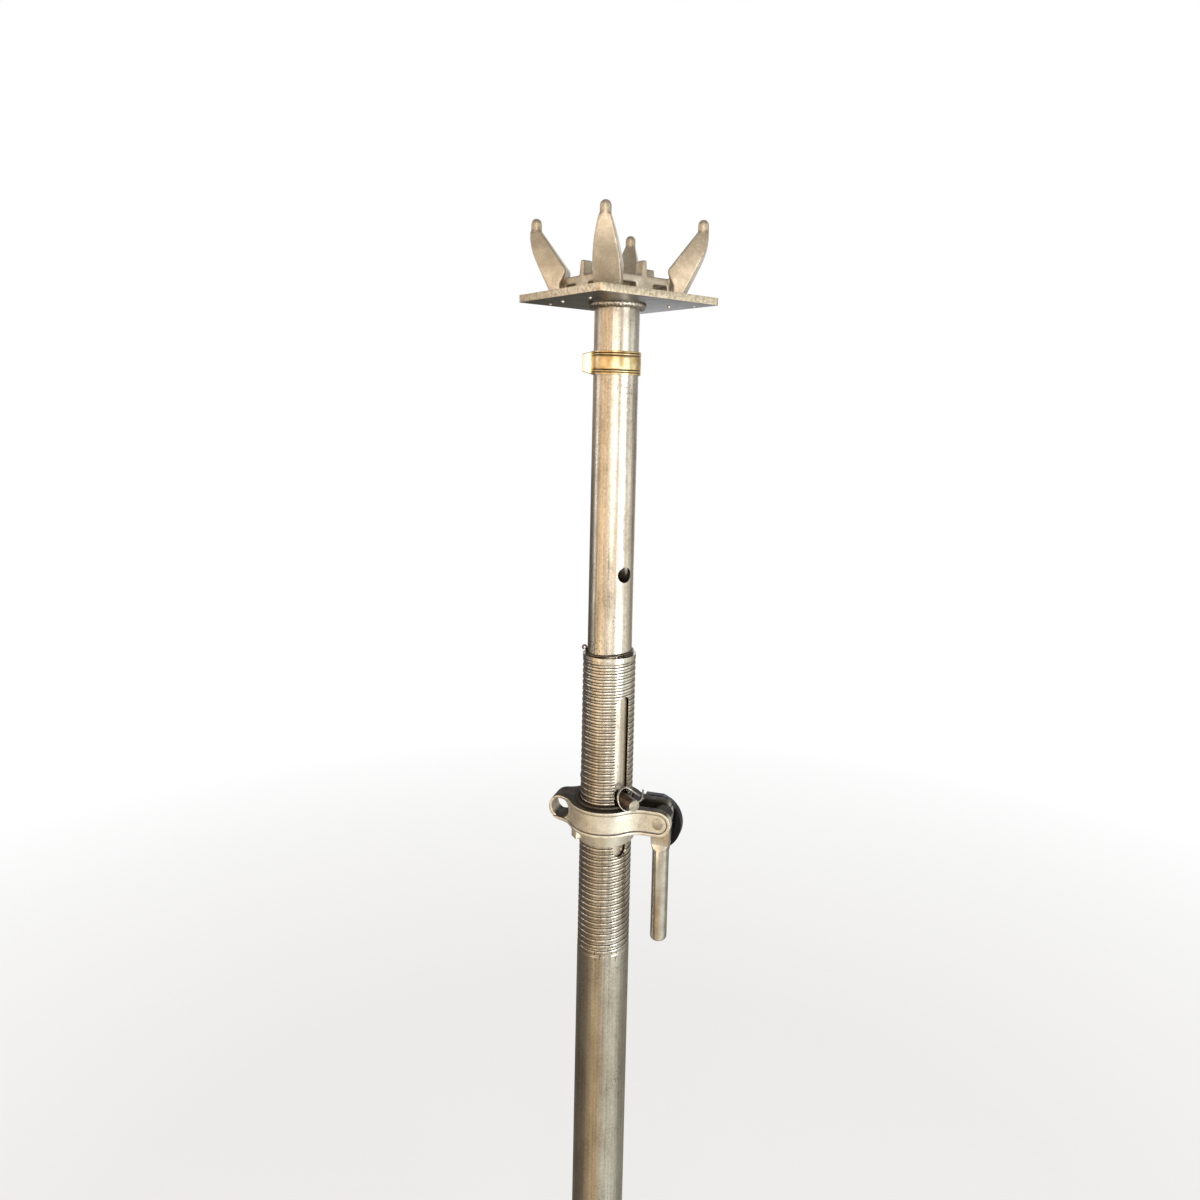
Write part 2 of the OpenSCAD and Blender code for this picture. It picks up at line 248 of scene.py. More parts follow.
def smoothByAngle(piece, degrees=35):
    pick(piece)
    bpy.ops.object.shade_smooth_by_angle(angle=math.radians(degrees))


def dress(piece, material, body, node):
    piece.data.materials.clear()
    piece.data.materials.append(material)
    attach(piece, body)
    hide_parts(node)


# patterns that several finishes share. A noise's Scale is its grains in a metre, so that 1000 divided
# by it is a grain's width in mm. A colour mix has its share at 0 and its colours at 6 and 7

def weigh(tree, *patterns):
    # the sum of patterns, each times its share
    total = 0.0
    for pattern, share in patterns:
        total = addNode(tree, "Math", {0: pattern, 1: share, 2: total}, operation="MULTIPLY_ADD")
    return total


def creviceShade(tree, distance, low, high):
    # 1 in narrow corners, 0 in the open
    near = addNode(tree, "AmbientOcclusion", {"Distance": distance}, samples=8, only_local=True)
    return addNode(tree, "ValToRGB", {"Fac": near.outputs["AO"]}, [(low, 1.0), (high, 0.0)])


def facingUp(tree):
    # 1 on faces that look up, -1 on those that look down
    normal = addNode(tree, "TexCoord").outputs["Normal"]
    return addNode(tree, "SeparateXYZ", {"Vector": normal}).outputs["Z"]


def lengthOf(tree, x, y):
    pair = addNode(tree, "CombineXYZ", {"X": x, "Y": y})
    return addNode(tree, "VectorMath", {0: pair}, operation="LENGTH")


def radiusInMm(tree, place):
    # distance from the prop's axis
    parts = addNode(tree, "SeparateXYZ", {"Vector": place})
    radius = lengthOf(tree, parts.outputs["X"], parts.outputs["Y"])
    return addNode(tree, "Math", {0: radius, 1: 1000.0}, operation="MULTIPLY")


# finishes

def threadGrooveShadeAndDirt(tree, place, thread):
    # painted shade, with dirt, along the foot of each ridge: phase is the share of a turn above the groove's
    # middle
    parts = addNode(tree, "SeparateXYZ", {"Vector": place})
    level = parts.outputs["Z"]
    angle = addNode(tree, "Math", {0: parts.outputs["Y"], 1: parts.outputs["X"]}, operation="ARCTAN2")
    climb = addNode(tree, "Math", {0: level, 1: thread["start"]}, operation="SUBTRACT")
    turns = addNode(tree, "Math", {0: climb, 1: 1 / thread["pitch"]}, operation="MULTIPLY")
    wound = addNode(tree, "Math", {0: angle, 1: -0.5 / math.pi, 2: turns}, operation="MULTIPLY_ADD")
    phase = addNode(tree, "Math", {0: wound}, operation="FRACT")
    lower = [(0.12, 0.0), (0.17, 1.0), (0.23, 1.0), (0.29, 0.0)]
    upper = [(0.71, 0.0), (0.77, 1.0), (0.82, 1.0), (0.88, 0.0)]
    line = addNode(tree, "ValToRGB", {"Fac": phase}, lower + upper)
    # it comes in over the thread's lowest 10 mm and stops 5 mm under the rim
    height = addNode(tree, "Math", {0: level, 1: thread["foot"]}, operation="SUBTRACT")
    height = addNode(tree, "Math", {0: height, 1: 10.0}, operation="MULTIPLY")
    threaded = addNode(tree, "ValToRGB", {"Fac": height}, [(0.0, 0.0), (0.1, 1.0)])
    below = addNode(tree, "Math", {0: thread["top"], 1: level}, operation="SUBTRACT")
    below = addNode(tree, "Math", {0: below, 1: 100.0}, operation="MULTIPLY")
    belowRim = addNode(tree, "ValToRGB", {"Fac": below}, [(0.5, 0.0), (0.75, 1.0)])
    threadShadeAndDirt = addNode(tree, "Math", {0: line, 1: threaded}, operation="MULTIPLY")
    return addNode(tree, "Math", {0: threadShadeAndDirt, 1: belowRim}, operation="MULTIPLY")


def galvanisedTube(name, tones, roughness, thread=None):
    # hot-dip galvanised drawn tube: soft zinc with drawn lines along it, cloudy mottling and dark specks
    material, tree, shader, place = startMaterial(name)
    drawn = addNode(tree, "Mapping", {"Vector": place, "Scale": (1.0, 1.0, 0.012)})
    lines = addNode(tree, "TexNoise", {"Vector": drawn, "Scale": 300.0, "Detail": 4.0, "Roughness": 0.65})
    tall = addNode(tree, "Mapping", {"Vector": place, "Scale": (1.0, 1.0, 0.45)})
    clouds = addNode(tree, "TexNoise", {"Vector": tall, "Scale": 26.0, "Detail": 6.0, "Roughness": 0.62})
    mottle = addNode(tree, "TexNoise", {"Vector": place, "Scale": 330.0, "Detail": 3.0, "Roughness": 0.6})
    body = weigh(tree, (lines, 0.35), (clouds, 0.4), (mottle, 0.25))
    mixed = addNode(tree, "ValToRGB", {"Fac": body}, [(0.38, tones[0]), (0.5, tones[1]), (0.62, tones[2])])
    # pinholes and rubbed dirt, gathered in patches
    patches = addNode(tree, "TexNoise", {"Vector": place, "Scale": 17.0, "Detail": 2.0, "Roughness": 0.55})
    gathered = addNode(tree, "ValToRGB", {"Fac": patches}, [(0.5, 0.0), (0.68, 1.0)])
    tall = addNode(tree, "Mapping", {"Vector": place, "Scale": (1.0, 1.0, 0.7)})
    pits = addNode(tree, "TexNoise", {"Vector": tall, "Scale": 380.0, "Detail": 2.0, "Roughness": 0.7})
    specks = addNode(tree, "ValToRGB", {"Fac": pits}, [(0.36, 1.0), (0.42, 0.0)])
    dirt = addNode(tree, "Math", {0: specks, 1: gathered}, operation="MULTIPLY")
    dirt = addNode(tree, "Math", {0: dirt, 1: 0.8}, operation="MULTIPLY")
    mixed = addNode(tree, "Mix", {0: dirt, 6: mixed, 7: "#3d352c"}, data_type="RGBA")
    # brown film that handling leaves on old zinc
    tall = addNode(tree, "Mapping", {"Vector": place, "Scale": (1.0, 1.0, 0.35)})
    smears = addNode(tree, "TexNoise", {"Vector": tall, "Scale": 9.0, "Detail": 4.0, "Roughness": 0.6})
    film = addNode(tree, "ValToRGB", {"Fac": smears}, [(0.45, 0.0), (0.7, 0.35)])
    mixed = addNode(tree, "Mix", {0: film, 6: mixed, 7: "#9c8468"}, data_type="RGBA")
    if thread:
        # painted shade and dirt along the foot of each thread ridge
        threadShadeAndDirt = addNode(tree, "Math", {0: threadGrooveShadeAndDirt(tree, place, thread), 1: 0.93}, operation="MULTIPLY")
        mixed = addNode(tree, "Mix", {0: threadShadeAndDirt, 6: mixed, 7: "#231c16"}, data_type="RGBA")
    gloss = addNode(tree, "ValToRGB", {"Fac": body}, [(0.4, roughness + 0.08), (0.62, roughness - 0.06)])
    skin = addNode(tree, "Math", {0: lines, 1: mottle}, operation="ADD")
    bump = addNode(tree, "Bump", {"Height": skin, "Strength": 0.3, "Distance": 0.15 * mm})
    setInputs(tree, shader, {"Base Color": mixed, "Roughness": gloss, "Normal": bump})
    return material


def nutShadeAndGrime(tree, place, mixed, arm):
    # painted shade with old grease on the collar nut, between the cheeks, round the thread and along the
    # rims, laid over its zinc
    level = addNode(tree, "SeparateXYZ", {"Vector": place}).outputs["Z"]
    along = addNode(tree, "VectorMath", {0: place, 1: arm["along"]}, operation="DOT_PRODUCT")
    across = addNode(tree, "VectorMath", {0: place, 1: arm["across"]}, operation="DOT_PRODUCT")
    # painted shade between the cheeks
    aside = addNode(tree, "Math", {0: across}, operation="ABSOLUTE")
    aside = addNode(tree, "Math", {0: aside, 1: 20.0}, operation="MULTIPLY")
    between = addNode(tree, "ValToRGB", {"Fac": aside}, [
        (arm["halfGap"] * 20 + 0.002, 0.92), (arm["halfGap"] * 20 + 0.016, 0.0)])
    out = addNode(tree, "Math", {0: along, 1: arm["gapStart"]}, operation="SUBTRACT")
    out = addNode(tree, "Math", {0: out, 1: 100.0}, operation="MULTIPLY")
    fromRoot = addNode(tree, "ValToRGB", {"Fac": out}, [(0.0, 0.0), (1.0, 1.0)])
    gap = addNode(tree, "Math", {0: between, 1: fromRoot}, operation="MULTIPLY")
    mixed = addNode(tree, "Mix", {0: gap, 6: mixed, 7: "#241e19"}, data_type="RGBA")
    # painted shade with grease on the lip round the thread
    beyond = addNode(tree, "Math", {0: radiusInMm(tree, place), 1: arm["lip"] / mm}, operation="SUBTRACT")
    beyond = addNode(tree, "Math", {0: beyond, 1: 0.1}, operation="MULTIPLY")
    lip = addNode(tree, "ValToRGB", {"Fac": beyond}, [(0.0, 0.9), (0.3, 0.0)])
    upper = addNode(tree, "Math", {0: level, 1: arm["level"]}, operation="GREATER_THAN")
    lip = addNode(tree, "Math", {0: lip, 1: upper}, operation="MULTIPLY")
    mixed = addNode(tree, "Mix", {0: lip, 6: mixed, 7: "#2c251f"}, data_type="RGBA")
    # painted shade and dirt along the inside of the rims, which run level and turn round the hinge
    past = addNode(tree, "Math", {0: along, 1: arm["reach"]}, operation="SUBTRACT")
    past = addNode(tree, "Math", {0: past, 1: 0.0}, operation="MAXIMUM")
    above = addNode(tree, "Math", {0: level, 1: arm["level"]}, operation="SUBTRACT")
    away = lengthOf(tree, past, above)
    inside = addNode(tree, "Math", {0: arm["rimRadius"], 1: away}, operation="SUBTRACT")
    inside = addNode(tree, "Math", {0: inside, 1: 300.0}, operation="MULTIPLY")
    stripe = addNode(tree, "ValToRGB", {"Fac": inside}, [(0.0, 0.0), (0.06, 1.0), (0.3, 0.95), (0.5, 0.0)])
    lean = addNode(tree, "Math", {0: facingUp(tree)}, operation="ABSOLUTE")
    upright = addNode(tree, "ValToRGB", {"Fac": lean}, [(0.4, 1.0), (0.7, 0.0)])
    # the loop behind the thread has no such rims
    front = addNode(tree, "Math", {0: along, 1: 60 * mm}, operation="ADD")
    front = addNode(tree, "Math", {0: front, 1: 10.0}, operation="MULTIPLY")
    onArm = addNode(tree, "ValToRGB", {"Fac": front}, [(0.1, 0.0), (0.3, 1.0)])
    # painted shade and dirt along the inside of the rims
    dirt = addNode(tree, "Math", {0: stripe, 1: upright}, operation="MULTIPLY")
    dirt = addNode(tree, "Math", {0: dirt, 1: onArm}, operation="MULTIPLY")
    return addNode(tree, "Mix", {0: dirt, 6: mixed, 7: "#3b3027"}, data_type="RGBA")


def castZinc(name, tones, topShadeAndGrease, arm=None):
    # galvanised malleable casting: dull pale zinc over a sandy skin, painted shade and dirt in its corners;
    # faces that look up are darkened, painted shade with grease
    material, tree, shader, place = startMaterial(name)
    grain = addNode(tree, "TexNoise", {"Vector": place, "Scale": 620.0, "Detail": 3.0, "Roughness": 0.6})
    patches = addNode(tree, "TexNoise", {"Vector": place, "Scale": 55.0, "Detail": 6.0, "Roughness": 0.65})
    body = weigh(tree, (patches, 0.6), (grain, 0.4))
    mixed = addNode(tree, "ValToRGB", {"Fac": body}, [(0.36, tones[0]), (0.5, tones[1]), (0.62, tones[2])])
    # painted shade and dirt in narrow corners
    cornerShade = creviceShade(tree, 4 * mm, 0.45, 0.88)
    mixed = addNode(tree, "Mix", {0: cornerShade, 6: mixed, 7: "#4b3f33"}, data_type="RGBA")
    if arm:
        mixed = nutShadeAndGrime(tree, place, mixed, arm)
    # faces that look up darkened in uneven patches: painted shade with grease
    upward = addNode(tree, "ValToRGB", {"Fac": facingUp(tree)}, [(0.5, 0.0), (0.8, topShadeAndGrease)])
    uneven = addNode(tree, "ValToRGB", {"Fac": patches}, [(0.25, 0.75), (0.55, 1.0)])
    patchyTopShade = addNode(tree, "Math", {0: upward, 1: uneven}, operation="MULTIPLY")
    mixed = addNode(tree, "Mix", {0: patchyTopShade, 6: mixed, 7: "#2a231d"}, data_type="RGBA")
    # the darkened tops, painted shade with grease, are no metal
    metal = addNode(tree, "ValToRGB", {"Fac": patchyTopShade}, [(0.0, 0.72), (0.9, 0.0)])
    gloss = addNode(tree, "ValToRGB", {"Fac": patches}, [(0.3, 0.44), (0.7, 0.34)])
    skin = addNode(tree, "Math", {0: patches, 1: 0.6, 2: grain}, operation="MULTIPLY_ADD")
    bump = addNode(tree, "Bump", {"Height": skin, "Strength": 0.5, "Distance": 0.5 * mm})
    setInputs(tree, shader, {"Base Color": mixed, "Metallic": metal, "Roughness": gloss, "Normal": bump,
                             "Specular IOR Level": 0.06})
    return material


def plainMetal(name, tones, metallic, roughness, scale, bumpDepth, cornerShadeColour=None, specular=0.5):
    # one even surface with cloudy tones, and painted shade in its corners where a corner shade colour is
    # given
    material, tree, shader, place = startMaterial(name, metallic, roughness)
    cloud = addNode(tree, "TexNoise", {"Vector": place, "Scale": scale, "Detail": 6.0, "Roughness": 0.6})
    mixed = addNode(tree, "ValToRGB", {"Fac": cloud}, [(0.35, tones[0]), (0.65, tones[1])])
    if cornerShadeColour:
        # painted shade in narrow corners
        cornerShade = creviceShade(tree, 3 * mm, 0.4, 0.85)
        mixed = addNode(tree, "Mix", {0: cornerShade, 6: mixed, 7: cornerShadeColour}, data_type="RGBA")
    gloss = addNode(tree, "ValToRGB", {"Fac": cloud}, [(0.3, roughness + 0.08), (0.7, roughness - 0.05)])
    bump = addNode(tree, "Bump", {"Height": cloud, "Strength": 0.4, "Distance": bumpDepth})
    setInputs(tree, shader, {"Base Color": mixed, "Roughness": gloss, "Normal": bump,
                             "Specular IOR Level": specular})
    return material


def passivatedBand(stripRadius):
    # thin strip, zinc plated and yellow passivated: pale gold, with painted shade and dirt in its pressed
    # grooves, and painted light on its folded end
    material, tree, shader, place = startMaterial("yellowPassivatedBand", 1.0, 0.33)
    cloud = addNode(tree, "TexNoise", {"Vector": place, "Scale": 80.0, "Detail": 6.0, "Roughness": 0.6})
    mixed = addNode(tree, "ValToRGB", {"Fac": cloud}, [(0.35, "#b89b69"), (0.65, "#e2d1a9")])
    proud = addNode(tree, "Math", {0: radiusInMm(tree, place), 1: stripRadius / mm}, operation="SUBTRACT")
    # painted shade and dirt in the pressed grooves
    bandGrooveShadeAndDirt = addNode(tree, "ValToRGB", {"Fac": proud}, [(0.1, 1.0), (0.35, 0.0)])
    mixed = addNode(tree, "Mix", {0: bandGrooveShadeAndDirt, 6: mixed, 7: "#4a3419"}, data_type="RGBA")
    # painted light on the folded end
    outside = addNode(tree, "Math", {0: proud, 1: 0.1}, operation="MULTIPLY")
    lugPaintedLight = addNode(tree, "ValToRGB", {"Fac": outside}, [(0.2, 0.0), (0.3, 0.8)])
    mixed = addNode(tree, "Mix", {0: lugPaintedLight, 6: mixed, 7: "#fff3cf"}, data_type="RGBA")
    bump = addNode(tree, "Bump", {"Height": cloud, "Strength": 0.4, "Distance": 0.2 * mm})
    setInputs(tree, shader, {"Base Color": mixed, "Normal": bump})
    return material


def flameCutPlate(underside):
    # galvanised flame-cut plate: smooth zinc faces, darker below as painted shade, and ragged, thickly coated
    # edges
    material, tree, shader, place = startMaterial("galvanisedPlate", 0.9, 0.36)
    clouds = addNode(tree, "TexNoise", {"Vector": place, "Scale": 45.0, "Detail": 6.0, "Roughness": 0.6})
    ragged = addNode(tree, "TexNoise", {"Vector": place, "Scale": 210.0, "Detail": 5.0, "Roughness": 0.65})
    facing = facingUp(tree)
    # the underside gets painted shade, the top the plain zinc
    under = addNode(tree, "ValToRGB", {"Fac": clouds}, [(0.35, "#57534d"), (0.65, "#7b7771")])
    upper = addNode(tree, "ValToRGB", {"Fac": clouds}, [(0.35, "#a39d91"), (0.65, "#cbc6bb")])
    onTop = addNode(tree, "Math", {0: facing, 1: 0.3}, operation="GREATER_THAN")
    mixed = addNode(tree, "Mix", {0: onTop, 6: under, 7: upper}, data_type="RGBA")
    lean = addNode(tree, "Math", {0: facing}, operation="ABSOLUTE")
    edge = addNode(tree, "ValToRGB", {"Fac": lean}, [(0.2, 1.0), (0.7, 0.0)])
    coated = addNode(tree, "ValToRGB", {"Fac": ragged}, [(0.36, "#a5957b"), (0.6, "#ddd1ba")])
    mixed = addNode(tree, "Mix", {0: edge, 6: mixed, 7: coated}, data_type="RGBA")
    # painted highlight: the drips under the plate are coloured near white
    level = addNode(tree, "SeparateXYZ", {"Vector": place}).outputs["Z"]
    lower = addNode(tree, "Math", {0: level, 1: underside - 0.3 * mm}, operation="LESS_THAN")
    near = addNode(tree, "Math", {0: level, 1: underside - 4 * mm}, operation="GREATER_THAN")
    drip = addNode(tree, "Math", {0: lower, 1: near}, operation="MULTIPLY")
    mixed = addNode(tree, "Mix", {0: drip, 6: mixed, 7: "#fbf9f2"}, data_type="RGBA")
    torn = addNode(tree, "Math", {0: ragged, 1: edge}, operation="MULTIPLY")
    height = addNode(tree, "Math", {0: clouds, 1: 0.25, 2: torn}, operation="MULTIPLY_ADD")
    bump = addNode(tree, "Bump", {"Height": height, "Strength": 0.4, "Distance": 0.8 * mm})
    setInputs(tree, shader, {"Base Color": mixed, "Normal": bump})
    return material


def pinSteel(endPlace):
    # drawn steel bar, oiled: brown along its length with a bright sawn end
    material, tree, shader, place = startMaterial("oiledBrownSteel", 0.7, 0.42)
    cloud = addNode(tree, "TexNoise", {"Vector": place, "Scale": 220.0, "Detail": 5.0, "Roughness": 0.6})
    brown = addNode(tree, "ValToRGB", {"Fac": cloud}, [(0.35, "#3a2f24"), (0.65, "#6a5846")])
    pale = addNode(tree, "ValToRGB", {"Fac": cloud}, [(0.35, "#9a9686"), (0.65, "#bdb9a9")])
    along = addNode(tree, "SeparateXYZ", {"Vector": place}).outputs["Y"]
    bare = addNode(tree, "Math", {0: along, 1: endPlace}, operation="LESS_THAN")
    mixed = addNode(tree, "Mix", {0: bare, 6: brown, 7: pale}, data_type="RGBA")
    bump = addNode(tree, "Bump", {"Height": cloud, "Strength": 0.4, "Distance": 0.3 * mm})
    setInputs(tree, shader, {"Base Color": mixed, "Normal": bump})
    return material


def platedBar(hingeLevel):
    # forged bar, zinc plated: sharp highlights with faint drawn lines, painted shade in its corners, and
    # painted shade with dull grease on top of the head between the cheeks
    gloss = 0.19
    material, tree, shader, place = startMaterial("zincPlatedBar")
    drawn = addNode(tree, "Mapping", {"Vector": place, "Scale": (1.0, 1.0, 0.02)})
    lines = addNode(tree, "TexNoise", {"Vector": drawn, "Scale": 260.0, "Detail": 4.0, "Roughness": 0.6})
    cloud = addNode(tree, "TexNoise", {"Vector": place, "Scale": 60.0, "Detail": 6.0, "Roughness": 0.6})
    body = weigh(tree, (lines, 0.25), (cloud, 0.75))
    mixed = addNode(tree, "ValToRGB", {"Fac": body}, [(0.34, "#b9b2a5"), (0.5, "#cfc9bd"), (0.64, "#e2ded4")])
    # painted shade in narrow corners
    cornerShade = creviceShade(tree, 2 * mm, 0.5, 0.9)
    mixed = addNode(tree, "Mix", {0: cornerShade, 6: mixed, 7: "#51473b"}, data_type="RGBA")
    # painted shade with grease on top of the head between the cheeks
    level = addNode(tree, "SeparateXYZ", {"Vector": place}).outputs["Z"]
    upper = addNode(tree, "Math", {0: level, 1: hingeLevel}, operation="GREATER_THAN")
    upward = addNode(tree, "ValToRGB", {"Fac": facingUp(tree)}, [(0.15, 0.0), (0.4, 0.92)])
    topShadeAndGrease = addNode(tree, "Math", {0: upper, 1: upward}, operation="MULTIPLY")
    mixed = addNode(tree, "Mix", {0: topShadeAndGrease, 6: mixed, 7: "#241e19"}, data_type="RGBA")
    dull = addNode(tree, "ValToRGB", {"Fac": topShadeAndGrease}, [(0.0, gloss), (0.9, 0.6)])
    bump = addNode(tree, "Bump", {"Height": body, "Strength": 0.2, "Distance": 0.1 * mm})
    setInputs(tree, shader, {"Base Color": mixed, "Roughness": dull, "Normal": bump})
    return material


plateZinc = flameCutPlate(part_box("head_plate")[0][2])
# molten beads under the zinc: bright ripples, with painted shade at their dark roots
weldMetal = plainMetal("galvanisedWeld", ("#8a8277", "#c4bdb0"), 1.0, 0.3, 300, 0.4 * mm, "#2f2821")
print("shared finishes ready")


# outer tube with its rolled thread

outerTube = {
    "pitch": 8.5 * mm,
    "threadLength": 442 * mm,
    "depth": 1.2 * mm,
    "wall": 4 * mm,
    # points round one turn of the thread, sides of the plain tube and of a slot's round end
    "steps": 96,
    "sides": 128,
    "slotSides": 48,
    "slotWidth": 24 * mm,
    "slotDrop": 56 * mm,
    "slotLength": 236 * mm,
    # the thread is rolled shallower over its last turns and stops short of the rim
    "runOut": 15 * mm,
    "plainRim": 5 * mm,
    "rimFade": 0.6,
    # the screw starts this many turns under the thread's foot, and the tube below laps into it
    "turnsUnder": 2,
    "overlap": 1.5 * mm,
    # one turn's profile: share of the pitch, share of the depth
    "profile": [(0, 0.16), (0.08, 0.12), (0.16, 0), (0.19, 0.08), (0.26, 0.7), (0.31, 0.9), (0.4, 0.99),
                (0.5, 1), (0.6, 0.99), (0.69, 0.9), (0.74, 0.7), (0.81, 0.08), (0.84, 0), (0.92, 0.12),
                (1, 0.16)],
}
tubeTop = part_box("outer_tube")[1][2]
threadFoot = tubeTop - outerTube["threadLength"]
threadPlace = {"pitch": outerTube["pitch"], "top": tubeTop, "foot": threadFoot,
               "start": threadFoot - outerTube["turnsUnder"] * outerTube["pitch"]}
outerZinc = galvanisedTube("galvanisedThreadedTube", ("#979084", "#c8c2b6", "#e6e2d8"), 0.28, threadPlace)


def bisectFill(piece, height, keepAbove):
    pick(piece)
    bpy.ops.object.mode_set(mode="EDIT")
    bpy.ops.mesh.select_all(action="SELECT")
    bpy.ops.mesh.bisect(plane_co=(0, 0, height), plane_no=(0, 0, 1), use_fill=True,
                        clear_inner=keepAbove, clear_outer=not keepAbove)
    bpy.ops.object.mode_set(mode="OBJECT")


def addSlotCutter(low, high, width, depth, sides):
    # a round-ended bar along Y
    cutter = addBlock((width, depth, high - low - width), (0, 0, (low + high) / 2))
    for z in (low + width / 2, high - width / 2):
        cutWith(cutter, addBar(width / 2, depth, (0, 0, z), sides, alongY=True), "UNION")
    return cutter


def shallowEnds(tube, s, crest, foot, top):
    # draws the grooves out to the crest at the thread's foot and under the rim
    for v in tube.data.vertices:
        radius = math.hypot(v.co.x, v.co.y)
        aboveFoot = min(max((v.co.z - foot) / s["runOut"], 0.0), 1.0)
        belowRim = min(max((top - v.co.z - s["plainRim"]) / (s["rimFade"] * s["pitch"]), 0.0), 1.0)
        share = (1 - (crest - radius) * min(aboveFoot, belowRim) / crest) * crest / radius
        v.co.x *= share
        v.co.y *= share


def makeOuterTube(s, thread):
    low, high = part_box("outer_tube")
    crest = (high[0] - low[0]) / 2
    top, foot, start = thread["top"], thread["foot"], thread["start"]
    # the profile line of one turn, screwed up the tube
    line = [(s["depth"] * share, s["pitch"] * turn) for turn, share in s["profile"]]
    tube = drawLine("outerTube", (crest - s["depth"], 0, start), line)
    # enough turns to end above the rim
    turns = int((top - start) / s["pitch"]) + 3
    addModifier(tube, "SCREW", angle=2 * math.pi, screw_offset=s["pitch"], iterations=turns,
                steps=s["steps"], render_steps=s["steps"], use_merge_vertices=True,
                merge_threshold=1e-5, use_smooth_shade=True)
    shallowEnds(tube, s, crest, foot, top)
    bisectFill(tube, top, False)
    bisectFill(tube, foot, True)
    mergeDoubles(tube, 1e-6)
    plainTop = foot + s["overlap"]
    plain = addBar(crest, plainTop - low[2], (0, 0, (plainTop + low[2]) / 2), s["sides"])
    cutWith(tube, plain, "UNION")
    cutWith(tube, addBar(crest - s["wall"], 2 * top, (0, 0, top), s["sides"]))
    slotTop = top - s["slotDrop"]
    cutWith(tube, addSlotCutter(slotTop - s["slotLength"], slotTop, s["slotWidth"], 4 * crest,
                                s["slotSides"]))
    smoothByAngle(tube, 50)
    dress(tube, outerZinc, "outer", "outer_tube")


makeOuterTube(outerTube, threadPlace)
print("outer tube ready")


# inner tube with its pin holes

innerTube = {
    "wall": 4 * mm,
    "holeWidth": 22 * mm,
    "firstHole": 376 * mm,
    "holePitch": 160 * mm,
    "holes": 6,
    "sides": 128,
    "holeSides": 64,
    # how much longer the bore's cutter is than the tube
    "spare": 20 * mm,
}
innerZinc = galvanisedTube("galvanisedInnerTube", ("#867e71", "#bfb8ab", "#dfdbd1"), 0.3)


def makeInnerTube(s):
    low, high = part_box("inner_tube")
    radius = (high[0] - low[0]) / 2
    length = high[2] - low[2]
    middle = (0, 0, (high[2] + low[2]) / 2)
    tube = addBar(radius, length, middle, s["sides"])
    tube.name = "innerTube"
    cutWith(tube, addBar(radius - s["wall"], length + s["spare"], middle, s["sides"]))
    for i in range(s["holes"]):
        level = high[2] - s["firstHole"] - i * s["holePitch"]
        cutWith(tube, addBar(s["holeWidth"] / 2, 4 * radius, (0, 0, level), s["holeSides"], alongY=True))
    smoothByAngle(tube, 40)
    dress(tube, innerZinc, "inner", "inner_tube")


makeInnerTube(innerTube)
print("inner tube ready")


# castings

crownZinc = castZinc("castCrown", ("#aea28f", "#bdb29f", "#d3cab9"), 0.15)
nutZinc = castZinc("castNut", ("#bfb9a9", "#dcd7c9", "#efebe0"), 0.97, nutArm)
# behind this line across the arm and past this place along it, the cheek is drawn back by a share
cheekTrim = {"behind": 10 * mm, "from": 52 * mm, "share": 0.14}
castings = [
    # node, piece, finish, body, voxel, smoothing rounds, share of the faces kept
    ("crown", "crown", crownZinc, "inner", 1.1 * mm, 20, 0.45),
    ("collar_nut", "collarNut", nutZinc, "nut", 0.75 * mm, 4, 0.4),
]


def shortenRearCheek(nut, s, arm):
    alongX, alongY = arm["along"][:2]
    acrossX, acrossY = arm["across"][:2]
    for v in nut.data.vertices:
        along = v.co.x * alongX + v.co.y * alongY
        across = v.co.x * acrossX + v.co.y * acrossY
        if across > s["behind"] and along > s["from"]:
            back = (along - s["from"]) * s["share"]
            v.co.x -= back * alongX
            v.co.y -= back * alongY


for node, name, material, body, voxel, rounds, kept in castings:
    piece = copyOfNode(node, name)
    softenCasting(piece, voxel, rounds)
    addModifier(piece, "DECIMATE", ratio=kept)
    if node == "collar_nut":
        shortenRearCheek(piece, cheekTrim, nutArm)
    smoothByAngle(piece, 60)
    dress(piece, material, body, node)
    print(name, len(piece.data.polygons), "faces")
print("castings ready")


# weld beads

weldBead = {
    "ripples": 46,
    "rippleHeight": 0.35 * mm,
    "slant": 3,
    # slow lumps from two waves that beat, and a finer third one
    "lumpHeight": 0.5 * mm,
    "lumpWaves": (5, 3, 11),
    "fineShare": 0.4,
    # how far the bead's middle stands off the tube and the plate, as a share of its size
    "stand": 0.35,
    "steps": 230,
    "round": 14,
}


def makeWeld(s, node, name, body, tubeNode, bead, flip):
    # a rolled bead round the tube, rippled by each stop of the torch
    low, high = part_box(node)
    tubeLow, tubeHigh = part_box(tubeNode)
    radius = (tubeHigh[0] - tubeLow[0]) / 2 + bead * s["stand"]
    height = high[2] - bead * s["stand"] if flip else low[2] + bead * s["stand"]
    deselect()
    bpy.ops.mesh.primitive_torus_add(location=(0, 0, height), major_segments=s["steps"],
                                     minor_segments=s["round"], major_radius=radius, minor_radius=bead)
    weld = bpy.context.object
    weld.name = name
    applyPlace(weld)
    first, second, fine = s["lumpWaves"]
    for v in weld.data.vertices:
        angle = math.atan2(v.co.y, v.co.x)
        ring = Vector((math.cos(angle), math.sin(angle), 0)) * radius + Vector((0, 0, height))
        out = (v.co - ring).normalized()
        ripple = s["rippleHeight"] * math.sin(s["ripples"] * angle + s["slant"] * out.z)
        beat = math.sin(first * angle + 1) * math.sin(second * angle)
        lump = s["lumpHeight"] * (beat + s["fineShare"] * math.sin(fine * angle))
        v.co += out * (ripple + lump)
    smoothByAngle(weld, 80)
    dress(weld, weldMetal, body, node)


